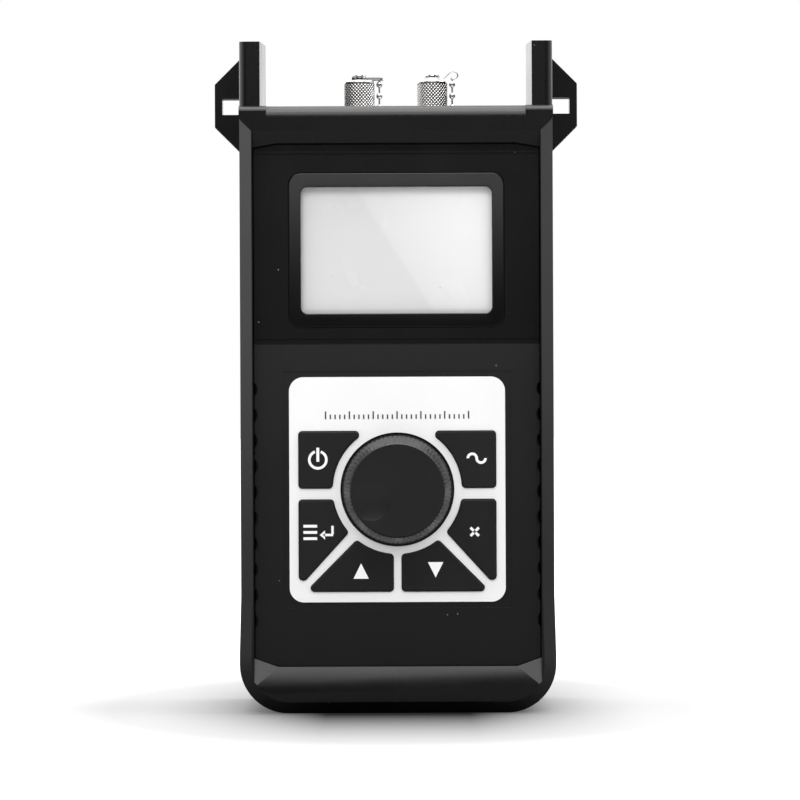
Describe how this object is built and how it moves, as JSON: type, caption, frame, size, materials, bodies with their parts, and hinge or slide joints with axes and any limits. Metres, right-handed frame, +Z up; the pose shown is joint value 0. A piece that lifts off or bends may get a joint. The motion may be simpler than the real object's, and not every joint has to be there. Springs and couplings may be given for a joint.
{
  "type": "variable optical attenuator",
  "caption": "Handheld optical attenuator in a rubber boot with horns and strap ears, display, keypad round a rotary knob, and capped fibre ports.",
  "frame": {"origin": "middle of the bounding box at the flat bottom of the boot", "axes": "+Z up, from the foot of the boot to its horns; +Y from the keypad towards the back; +X to the right as seen from the keypad"},
  "size_m": [0.1152, 0.0522, 0.2094],
  "materials": {
    "boot_rubber": "matte",
    "case_plastic": "satin",
    "lens_glass": "gloss",
    "lcd_glass": "gloss",
    "frame_plastic": "matte",
    "panel_white": "satin",
    "key_rubber": "matte",
    "mat_rubber": "matte",
    "knob_plastic": "satin",
    "steel": "satin",
    "nickel": "satin",
    "board_green": "satin",
    "aluminium": "satin",
    "ceramic": "gloss",
    "plug_plastic": "satin",
    "fibre_jacket": "satin",
    "cell_jacket": "satin"
  },
  "bodies": {
    "housing": {"rubber_boot": "boot_rubber", "front_shell": "case_plastic", "rear_shell": "case_plastic", "top_end_plate": "aluminium", "display_lens": "lens_glass", "lcd_panel": "lcd_glass", "lcd_frame": "frame_plastic", "keypad_bezel": "panel_white", "keypad_mat": "mat_rubber", "encoder_body": "steel", "encoder_nut": "steel", "main_board": "board_green", "attenuator_module": "aluminium", "battery_contacts": "steel", "case_screws": "steel", "board_screws": "steel", "module_screws": "steel", "end_plate_screws": "steel", "chain_screws": "steel", "adapter_left": "nickel", "adapter_nut_left": "steel", "adapter_sleeve_left": "ceramic", "inner_plug_left": "plug_plastic", "fibre_left": "fibre_jacket", "adapter_right": "nickel", "adapter_nut_right": "steel", "adapter_sleeve_right": "ceramic", "inner_plug_right": "plug_plastic", "fibre_right": "fibre_jacket", "battery_1": "cell_jacket", "battery_2": "cell_jacket", "battery_3": "cell_jacket"},
    "knob": {"knob": "knob_plastic", "encoder_shaft": "steel"},
    "battery_door": {"battery_door": "case_plastic"},
    "key_power": {"key_power": "key_rubber"},
    "key_wavelength": {"key_wavelength": "key_rubber"},
    "key_menu": {"key_menu": "key_rubber"},
    "key_cancel": {"key_cancel": "key_rubber"},
    "key_up": {"key_up": "key_rubber"},
    "key_down": {"key_down": "key_rubber"},
    "tether_left": {"tether_tab_left": "steel", "chain_left": "steel"},
    "dust_cap_left": {"dust_cap_left": "nickel"},
    "tether_right": {"tether_tab_right": "steel", "chain_right": "steel"},
    "dust_cap_right": {"dust_cap_right": "nickel"}
  },
  "joints": [
    {"name": "knob_turn", "type": "hinge", "parent": "housing", "child": "knob", "pos_m": [0, -0.02, 0.0685], "axis": [0, 1, 0], "continuous": true},
    {"name": "battery_door_hinge", "type": "hinge", "parent": "housing", "child": "battery_door", "pos_m": [0, 0.0219, 0.0249], "axis": [-1, 0, 0], "range_deg": [0, 80]},
    {"name": "key_power_press", "type": "slide", "parent": "housing", "child": "key_power", "axis": [0, 1, 0], "range_m": [0, 0.0006], "stiffness_N_per_m": 300, "springref_m": -0.001},
    {"name": "key_wavelength_press", "type": "slide", "parent": "housing", "child": "key_wavelength", "axis": [0, 1, 0], "range_m": [0, 0.0006], "stiffness_N_per_m": 300, "springref_m": -0.001},
    {"name": "key_menu_press", "type": "slide", "parent": "housing", "child": "key_menu", "axis": [0, 1, 0], "range_m": [0, 0.0006], "stiffness_N_per_m": 300, "springref_m": -0.001},
    {"name": "key_cancel_press", "type": "slide", "parent": "housing", "child": "key_cancel", "axis": [0, 1, 0], "range_m": [0, 0.0006], "stiffness_N_per_m": 300, "springref_m": -0.001},
    {"name": "key_up_press", "type": "slide", "parent": "housing", "child": "key_up", "axis": [0, 1, 0], "range_m": [0, 0.0006], "stiffness_N_per_m": 300, "springref_m": -0.001},
    {"name": "key_down_press", "type": "slide", "parent": "housing", "child": "key_down", "axis": [0, 1, 0], "range_m": [0, 0.0006], "stiffness_N_per_m": 300, "springref_m": -0.001},
    {"name": "tether_left_lift", "type": "slide", "parent": "housing", "child": "tether_left", "axis": [0, 0, 1], "range_m": [0, 0.00825], "deforming": ["chain_left"]},
    {"name": "dust_cap_left_unscrew", "type": "hinge", "parent": "tether_left", "child": "dust_cap_left", "pos_m": [-0.0114, 0.0014, 0.19], "axis": [0, 0, 1], "range_deg": [0, 3960]},
    {"name": "tether_right_lift", "type": "slide", "parent": "housing", "child": "tether_right", "axis": [0, 0, 1], "range_m": [0, 0.00825], "deforming": ["chain_right"]},
    {"name": "dust_cap_right_unscrew", "type": "hinge", "parent": "tether_right", "child": "dust_cap_right", "pos_m": [0.0114, 0.0014, 0.19], "axis": [0, 0, 1], "range_deg": [0, 3960]}
  ],
  "couplings": [
    {"joint": "dust_cap_left_unscrew", "follows": "tether_left_lift", "rad_per_m": 8377.6},
    {"joint": "dust_cap_right_unscrew", "follows": "tether_right_lift", "rad_per_m": 8377.6}
  ]
}
